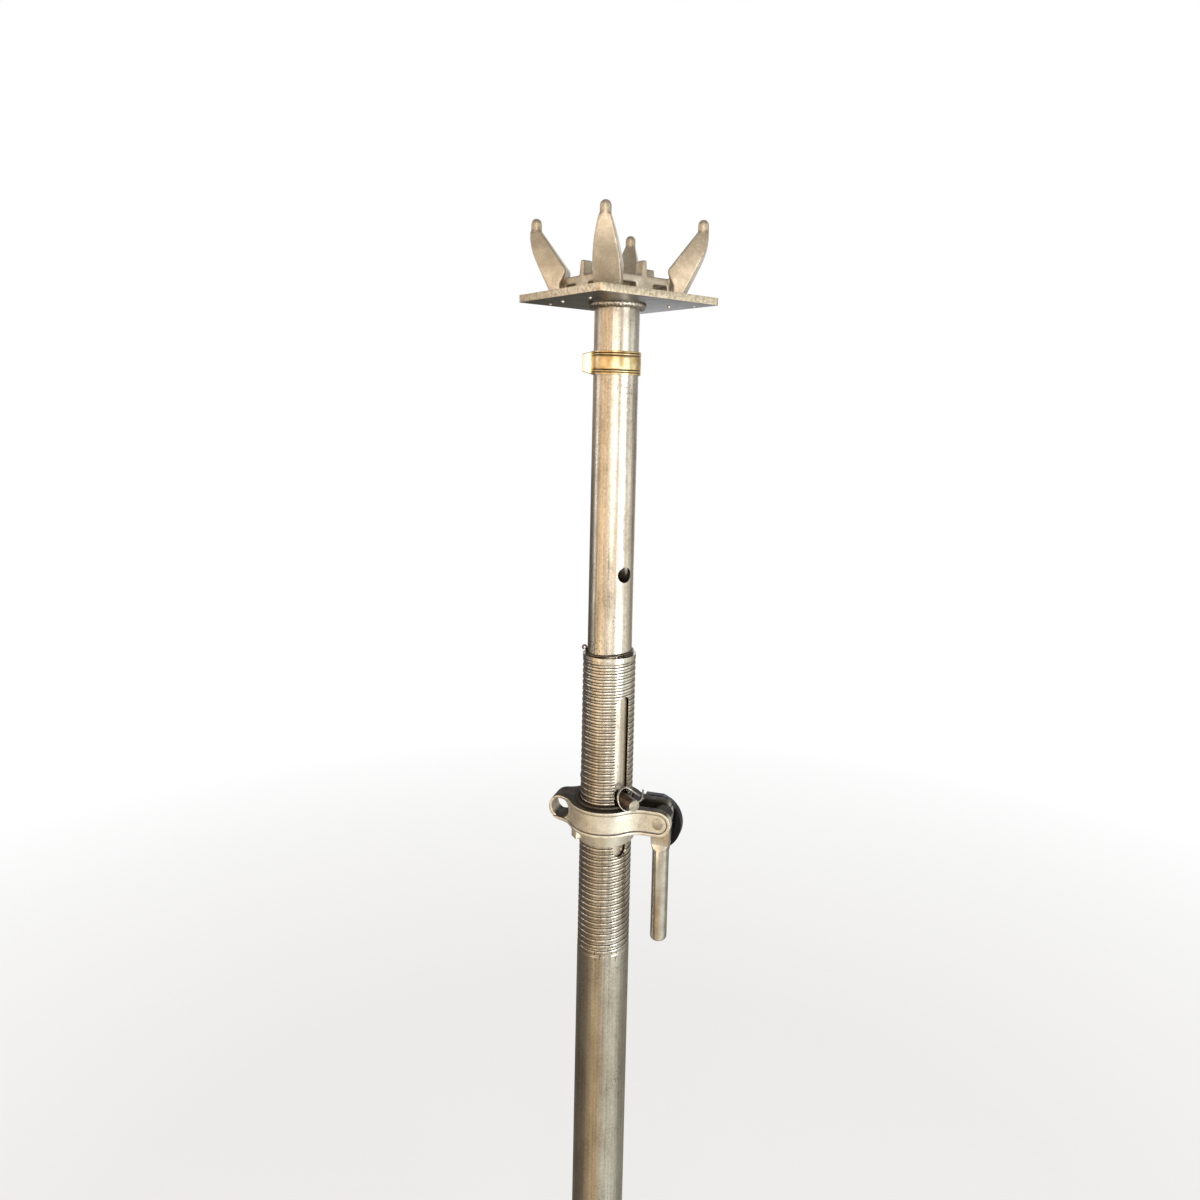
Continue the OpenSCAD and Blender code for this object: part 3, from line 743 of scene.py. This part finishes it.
makeWeld(weldBead, "head_weld", "headWeld", "inner", "inner_tube", 6 * mm, True)
makeWeld(weldBead, "base_weld", "baseWeld", "outer", "outer_tube", 4.5 * mm, False)
print("welds ready")


# keeper: spring wire on the rim, its end bent up into a small eye

keeper = {
    "wire": 2.6 * mm,
    "gap": 0.5 * mm,
    # degrees round the rim: the first end, the eye's end and the step between points
    "start": -104,
    "end": 143,
    "step": 6,
    # after this much of its first turn the wire climbs on itself, over this stretch
    "climbFrom": 300,
    "climbOver": 60,
    # the eye's radius, its middle from the end (out and up in radii, on in wires) and its bend
    "eye": 2.7 * mm,
    "eyeOut": 0.9,
    "eyeUp": 1.3,
    "eyeOn": 0.8,
    "bend": range(-60, 256, 15),
}
# hard-drawn spring wire, coloured dark as painted shade, with painted shade in its corners: a thin bright
# line along it
keeperWire = plainMetal("shadedSpringWire", ("#3d352d", "#7d746a"), 1.0, 0.32, 260, 0.1 * mm, "#15110e")


def makeKeeper(s):
    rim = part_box("outer_tube")[1][2]
    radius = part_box("inner_tube")[1][0] + s["gap"] + s["wire"] / 2
    path = []
    last = s["start"] + 360 + (s["end"] - s["start"]) % 360
    for degrees in range(s["start"], last + 1, s["step"]):
        angle = math.radians(degrees)
        climb = min(max((degrees - s["start"] - s["climbFrom"]) / s["climbOver"], 0), 1)
        path.append((radius * math.cos(angle), radius * math.sin(angle), rim + s["wire"] * (0.5 + climb)))
    angle = math.radians(last)
    outward = Vector((math.cos(angle), math.sin(angle), 0))
    onward = Vector((-math.sin(angle), math.cos(angle), 0))
    upward = Vector((0, 0, 1))
    middle = (Vector(path[-1]) + outward * s["eyeOut"] * s["eye"] + onward * s["eyeOn"] * s["wire"]
              + upward * s["eyeUp"] * s["eye"])
    for degrees in s["bend"]:
        angle = math.radians(degrees)
        path.append(middle - outward * s["eye"] * math.cos(angle) + upward * s["eye"] * math.sin(angle))
    wire = wireAlong(path, s["wire"], "keeperRing")
    smoothByAngle(wire, 60)
    dress(wire, keeperWire, "outer", "keeper_ring")


makeKeeper(keeper)
print("keeper ready")


# head plate: broken edges, and a few drips of zinc left hanging under it

headPlate = {
    "bevel": 1.0 * mm,
    # place of each drip and its width, in mm
    "drips": [(-68, 34, 5.0), (64, -34, 5.0), (-67, -30, 4.2), (-60, 78, 3.4), (71, 36, 4.0),
              (12, 74, 3.6), (83, -66, 3.2)],
    # how much longer than wide a drip hangs
    "hang": 1.1,
}


def makeHeadPlate(s):
    plate = copyOfNode("head_plate", "headPlate")
    bevelEdges(plate, s["bevel"])
    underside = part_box("head_plate")[0][2]
    drips = []
    for x, y, width in s["drips"]:
        deselect()
        bpy.ops.mesh.primitive_uv_sphere_add(segments=20, ring_count=12, radius=width * mm / 2,
                                             location=(x * mm, y * mm, underside))
        drip = bpy.context.object
        drip.scale = (1, 1, s["hang"])
        applyPlace(drip)
        drips.append(drip)
    joinPieces(plate, drips)
    smoothByAngle(plate, 35)
    dress(plate, plateZinc, "inner", "head_plate")


makeHeadPlate(headPlate)
print("head plate ready")


# stop band: strip pressed round the tube, with two beads at each edge and its end folded out

stopBand = {
    "strip": 2.2 * mm,
    "gap": 0.2 * mm,
    "steps": 128,
    # the folded end: degrees round the tube, how far it reaches and how thick it is
    "lugAngle": 143,
    "lug": (14 * mm, 8 * mm),
    "lugBevel": 1.2 * mm,
    "corner": 4 * mm,
    # height as a share of the band, how far it stands out of the strip in mm
    "line": [(0, 0.4), (0.02, 0.6), (0.06, 0.7), (0.075, 0.1), (0.085, -0.1), (0.095, 0.1), (0.11, 0.7),
             (0.14, 1.0), (0.17, 0.7), (0.185, 0.1), (0.195, -0.1), (0.205, 0.1), (0.22, 0.55),
             (0.3, 0.6), (0.48, 0.6)],
}
bandLow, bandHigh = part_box("stop_band")
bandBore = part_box("inner_tube")[1][0] + stopBand["gap"]
bandZinc = passivatedBand(bandBore + stopBand["strip"])


def makeStopBand(s, bore, bottom, tall):
    line = [(t * tall, out * mm) for t, out in s["line"]]
    line += [(tall - z, out) for z, out in reversed(line)]
    section = [(bore, 0)] + [(bore + s["strip"] + out, z) for z, out in line] + [(bore, tall), (bore, 0)]
    band = drawLine("stopBand", (bore, 0, bottom), section)
    bpy.ops.object.mode_set(mode="EDIT")
    bpy.ops.mesh.select_all(action="SELECT")
    bpy.ops.mesh.spin(steps=s["steps"], angle=2 * math.pi, center=(0, 0, 0), axis=(0, 0, 1))
    bpy.ops.object.mode_set(mode="OBJECT")
    mergeDoubles(band, 1e-5)
    # the end, folded out flat with its corners cut
    reach, thick = s["lug"]
    middle = bottom + tall / 2
    lug = addBlock((reach, thick, tall), (bore + s["strip"] / 2 + reach / 2, 0, middle))
    for v in lug.data.vertices:
        if v.co.x > bore + reach / 2:
            v.co.z += -s["corner"] if v.co.z > middle else s["corner"]
    bevelEdges(lug, s["lugBevel"], 3, 20)
    lug.rotation_euler = (0, 0, math.radians(s["lugAngle"]))
    applyPlace(lug)
    joinPieces(band, [lug])
    smoothByAngle(band, 50)
    dress(band, bandZinc, "inner", "stop_band")


makeStopBand(stopBand, bandBore, bandLow[2], bandHigh[2] - bandLow[2])
print("stop band ready")


# plain pieces: the solids with their edges broken

pinLow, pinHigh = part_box("locking_pin")
pinDetail = {
    "level": (pinLow[2] + pinHigh[2]) / 2,
    "headRadius": 9.6 * mm,
    # length of the bright end
    "bare": 1.05 * mm,
    # rise for each metre along Y, since the pin hangs a little in its holes
    "droop": 0.035,
    # the clip's wire, how far its hoop leans, and its second end: from the hoop under the pin and up
    # past the first one, in mm
    "wire": 2.2 * mm,
    "lean": 0.45,
    "tail": [(7, -48, -8.7), (14, -49.6, -7.2), (23.5, -50.9, -4.4), (25, -50.9, -2.6), (30.4, -50.9, 7)],
}
# the handle's flat from the hinge down: where the cut starts, where it slopes and where it runs out;
# then half the flat, half the bar and how far the cutter goes past them
handleCut = {"top": -12 * mm, "line": -37.5 * mm, "tip": -48.5 * mm, "face": 9.3 * mm, "bar": 12.2 * mm,
             "outside": 30 * mm, "width": 60 * mm}

brownSteel = pinSteel(pinLow[1] + pinDetail["bare"])
# bright drawn wire: pale with a clean highlight, and painted shade in its corners
springWire = plainMetal("drawnSpringWire", ("#928e85", "#cbc7be"), 1.0, 0.3, 300, 0.1 * mm, "#2b261f")
# turned and zinc plated: an even soft sheen, with painted shade in its corners
turnedSteel = plainMetal("zincPlatedPin", ("#a39c8f", "#ccc6ba"), 1.0, 0.34, 60, 0.1 * mm, "#453b31")
# black gloss paint over a rough casting: near black with small, wavy highlights
blackPaint = plainMetal("blackPaint", ("#06070a", "#10131c"), 0.0, 0.1, 90, 0.6 * mm, specular=0.22)
handleZinc = platedBar(nutArm["level"])

plainPieces = [
    # node, piece, finish, body, slot, width of the broken edge, angle that stays sharp
    ("base_plate", "basePlate", plateZinc, "outer", "galvanised_plate", 1.0 * mm, 35),
    ("foot_guide", "footGuide", weldMetal, "inner", "weld_bead", 0, 35),
    ("locking_pin", "lockingPin", brownSteel, "pin", "dark_steel", 0.5 * mm, 35),
    ("pin_clip", "pinClip", springWire, "pin", "spring_wire", 0, 60),
    ("hinge_pin", "hingePin", turnedSteel, "nut", "turned_steel", 0.4 * mm, 35),
    ("hinge_guard", "hingeGuard", blackPaint, "nut", "black_paint", 0.5 * mm, 30),
    ("handle", "handleBar", handleZinc, "handle", "turned_steel", 0.8 * mm, 30),
]


def trimPinHead(pin, s):
    for v in pin.data.vertices:
        radius = math.hypot(v.co.x, v.co.z - s["level"])
        if radius > s["headRadius"]:
            v.co.x *= s["headRadius"] / radius
            v.co.z = s["level"] + (v.co.z - s["level"]) * s["headRadius"] / radius


def letDroop(piece, s):
    for v in piece.data.vertices:
        v.co.z += s["droop"] * v.co.y


def leanClip(clip, s):
    for v in clip.data.vertices:
        v.co.y += s["lean"] * (v.co.z - s["level"])


def addClipTail(clip, s):
    path = [Vector((x * mm, y * mm, s["level"] + z * mm)) for x, y, z in s["tail"]]
    joinPieces(clip, [wireAlong(path, s["wire"], "clipTail")])


def flattenHead(handle, s, arm):
    # the forged flat under the hinge ends in a sloped facet that runs out on the round bar
    touch = 0.01 * mm
    for side in (-1, 1):
        cutter = addBlock((s["width"], 1, 1), (0, 0, 0))
        for v in cutter.data.vertices:
            upper, outer = v.co.z > 0, v.co.y > 0
            v.co.z = s["top"] if upper else s["tip"]
            v.co.y = side * (s["outside"] if outer else s["face"] if upper else s["bar"])
        pick(cutter)
        bpy.ops.object.mode_set(mode="EDIT")
        bpy.ops.mesh.select_all(action="SELECT")
        bpy.ops.mesh.bisect(plane_co=(0, 0, s["line"]), plane_no=(0, 0, 1))
        bpy.ops.mesh.select_all(action="SELECT")
        bpy.ops.mesh.normals_make_consistent(inside=False)
        bpy.ops.object.mode_set(mode="OBJECT")
        for v in cutter.data.vertices:
            if abs(v.co.z - s["line"]) < touch and abs(v.co.y) < s["outside"] / 2:
                v.co.y = side * s["face"]
        cutter.rotation_euler = (0, 0, math.radians(arm["turn"]))
        cutter.location = (arm["reach"] * arm["along"][0], arm["reach"] * arm["along"][1], arm["level"])
        applyPlace(cutter)
        cutWith(handle, cutter)


for node, name, material, body, slotName, bevelWidth, angle in plainPieces:
    piece = copyOfNode(node, name)
    if node == "locking_pin":
        trimPinHead(piece, pinDetail)
        letDroop(piece, pinDetail)
    if node == "pin_clip":
        addClipTail(piece, pinDetail)
        leanClip(piece, pinDetail)
        letDroop(piece, pinDetail)
    if node == "handle":
        flattenHead(piece, handleCut, nutArm)
    if bevelWidth:
        bevelEdges(piece, bevelWidth)
    smoothByAngle(piece, angle)
    dress(piece, material, body, node)
print("plain pieces ready")


# floor, light and camera

floorSettings = {
    "size": 60.0,
    "drop": 0.5 * mm,
    "colour": "#ececea",
    # near the foot only this share of the floor is plain white, and all of it past the far edge
    "share": 0.7,
    "nearEdge": 1.2,
    "farEdge": 3.2,
    "farColour": "#eee9dc",
    # by direction round the prop, from -180 to 180 degrees
    "sides": [(0.0, "#b09b7b"), (0.05, "#cbb18b"), (0.12, "#d4ba92"), (0.16, "#d9d6c8"),
              (0.22, "#f2f4ea"), (0.33, "#e9ebe2"), (0.42, "#9c9c93"), (0.6, "#8f8f87"),
              (0.8, "#4c463d"), (0.93, "#625b4e"), (1.0, "#96856a")],
}


def roomSides(tree, place, away, s):
    # what the metal sees in the floor: the room's colours by direction, paler in front further off
    parts = addNode(tree, "SeparateXYZ", {"Vector": place})
    angle = addNode(tree, "Math", {0: parts.outputs["Y"], 1: parts.outputs["X"]}, operation="ARCTAN2")
    turn = addNode(tree, "Math", {0: angle, 1: 0.5 / math.pi, 2: 0.5}, operation="MULTIPLY_ADD")
    sides = addNode(tree, "ValToRGB", {"Fac": turn}, s["sides"])
    off = addNode(tree, "Math", {0: away, 1: 0.1}, operation="MULTIPLY")
    far = addNode(tree, "ValToRGB", {"Fac": off}, [(0.18, 0.0), (0.26, 1.0)])
    front = addNode(tree, "ValToRGB", {"Fac": turn}, [(0.0, 1.0), (0.42, 1.0), (0.55, 0.0), (0.97, 0.0)])
    paler = addNode(tree, "Math", {0: far, 1: front}, operation="MULTIPLY")
    return addNode(tree, "Mix", {0: paler, 6: sides, 7: s["farColour"]}, data_type="RGBA")


def makeFloor(s):
    deselect()
    bpy.ops.mesh.primitive_plane_add(size=s["size"], location=(0, 0, cadLow[2] - s["drop"]))
    floor = bpy.context.object
    floor.name = "floor"
    # matt white paint; the camera sees the backdrop's white over it, the metal sees the room's sides
    # in it, and near the foot it keeps its shadows
    paint, tree, shader, place = startMaterial("floorPaint", 0.0, 0.8)
    setInputs(tree, shader, {"Base Color": s["colour"]})
    path = addNode(tree, "LightPath")
    away = addNode(tree, "VectorMath", {0: place}, operation="LENGTH")
    past = addNode(tree, "Math", {0: away, 1: s["nearEdge"]}, operation="SUBTRACT")
    fade = addNode(tree, "Math", {0: past, 1: s["farEdge"] - s["nearEdge"]}, operation="DIVIDE")
    white = addNode(tree, "ValToRGB", {"Fac": fade}, [(0.0, s["share"]), (1.0, 1.0)])
    room = addNode(tree, "Emission", {"Color": roomSides(tree, place, away, s), "Strength": 1.0})
    mirrored = addNode(tree, "Math", {0: path.outputs["Is Glossy Ray"], 1: 0.9}, operation="MULTIPLY")
    metal = addNode(tree, "MixShader", {0: mirrored, 1: shader, 2: room})
    glow = addNode(tree, "Emission", {"Color": "#ffffff", "Strength": 1.0})
    seen = addNode(tree, "Math", {0: path.outputs["Is Camera Ray"], 1: white}, operation="MULTIPLY")
    mix = addNode(tree, "MixShader", {0: seen, 1: metal, 2: glow})
    setInputs(tree, tree.nodes["Material Output"], {"Surface": mix})
    floor.data.materials.append(paint)


makeFloor(floorSettings)

# place in metres, angles in degrees, lens, sensor and clip in Blender's own units
camera = {"place": (-0.73437, -0.99797, 1.69894), "azimuth": -39.279, "pitch": 5.156, "roll": 1.577,
          "lens": 26.385, "sensor": 36, "shift": (-0.04852, -0.09260), "clip": (0.05, 200)}


def makeCamera(s):
    azimuth, pitch, roll = (math.radians(s[k]) for k in ("azimuth", "pitch", "roll"))
    toward = Vector((math.sin(azimuth), -math.cos(azimuth), 0))
    right = Vector((math.cos(azimuth), math.sin(azimuth), 0))
    forward = -math.cos(pitch) * toward + Vector((0, 0, -math.sin(pitch)))
    up = right.cross(forward)
    turnedRight = math.cos(roll) * right + math.sin(roll) * up
    turnedUp = math.cos(roll) * up - math.sin(roll) * right
    data = bpy.data.cameras.new("camera")
    data.lens = s["lens"]
    data.sensor_width = s["sensor"]
    data.shift_x, data.shift_y = s["shift"]
    data.clip_start, data.clip_end = s["clip"]
    eye = bpy.data.objects.new("camera", data)
    bpy.context.scene.collection.objects.link(eye)
    basis = Matrix((turnedRight, turnedUp, -forward)).transposed()
    eye.matrix_world = Matrix.Translation(Vector(s["place"])) @ basis.to_4x4()
    bpy.context.scene.camera = eye


makeCamera(camera)

lamps = [
    # name, place, aimed at, width, height, watts, colour
    ("keyRight", (0.4, -2.7, 1.05), (0, 0, 1.05), 1.3, 1.8, 38, "#ffffff"),
    ("frontFill", (-1.8, -2.2, 1.9), (0, 0, 1.3), 1.6, 2.4, 34, "#fff6ec"),
    ("fillLeft", (-2.7, 0.1, 1.6), (0, 0, 1.3), 2.8, 2.8, 27, "#ffdcb0"),
    ("sideRight", (2.1, -1.8, 1.7), (0, 0, 1.3), 1.3, 2.6, 9, "#f4f7f2"),
    ("backRight", (2.0, 1.6, 1.8), (0, 0, 1.3), 1.2, 2.4, 10, "#f2f5ff"),
    ("backLeft", (-1.9, 1.9, 1.8), (0, 0, 1.3), 0.5, 2.4, 9, "#ffffff"),
]
for name, place, aim, width, height, power, colour in lamps:
    data = bpy.data.lights.new(name, "AREA")
    data.shape = "RECTANGLE"
    data.size, data.size_y = width, height
    data.energy = power
    data.color = linear(colour)[:3]
    lamp = bpy.data.objects.new(name, data)
    bpy.context.scene.collection.objects.link(lamp)
    lamp.location = place
    lamp.rotation_euler = (Vector(aim) - Vector(place)).to_track_quat("-Z", "Y").to_euler()

studio = {
    # the side that the walls run to, from grey to warm
    "warmSide": (-0.94, 0.34, 0.0),
    "walls": [(0.0, "#a3a5a6"), (0.35, "#bfbeba"), (0.7, "#c0a47b"), (1.0, "#826640")],
    "ceiling": "#6e6a64",
    "strength": 0.9,
    # share of the white backdrop that the metal sees over the room
    "backdropShare": 0.25,
}


def makeWorld(s):
    # white for the camera; for light a room with a warm side, a grey side and a darker ceiling
    world = bpy.data.worlds.new("studio")
    bpy.context.scene.world = world
    world.use_nodes = True
    tree = world.node_tree
    tree.nodes.clear()
    path = addNode(tree, "LightPath")
    direction = addNode(tree, "TexCoord").outputs["Generated"]
    side = addNode(tree, "VectorMath", {0: direction, 1: s["warmSide"]}, operation="DOT_PRODUCT")
    side = addNode(tree, "Math", {0: side, 1: 1.0}, operation="ADD")
    turn = addNode(tree, "Math", {0: side, 1: 0.5}, operation="MULTIPLY")
    walls = addNode(tree, "ValToRGB", {"Fac": turn}, s["walls"])
    height = addNode(tree, "SeparateXYZ", {"Vector": direction}).outputs["Z"]
    over = addNode(tree, "ValToRGB", {"Fac": height}, [(0.2, 0.0), (0.7, 0.85)])
    inside = addNode(tree, "Mix", {0: over, 6: walls, 7: s["ceiling"]}, data_type="RGBA")
    room = addNode(tree, "Background", {"Color": inside, "Strength": s["strength"]})
    backdrop = addNode(tree, "Background", {"Color": "#ffffff", "Strength": 1.0})
    reflected = addNode(tree, "Math", {0: path.outputs["Is Glossy Ray"],
                                       1: path.outputs["Is Transmission Ray"]}, operation="ADD")
    seen = addNode(tree, "Math", {0: reflected, 1: s["backdropShare"], 2: path.outputs["Is Camera Ray"]},
                   operation="MULTIPLY_ADD")
    mix = addNode(tree, "MixShader", {0: seen, 1: room, 2: backdrop})
    addNode(tree, "OutputWorld", {"Surface": mix})


makeWorld(studio)
bpy.context.scene.view_settings.view_transform = "Standard"
print("stage ready")
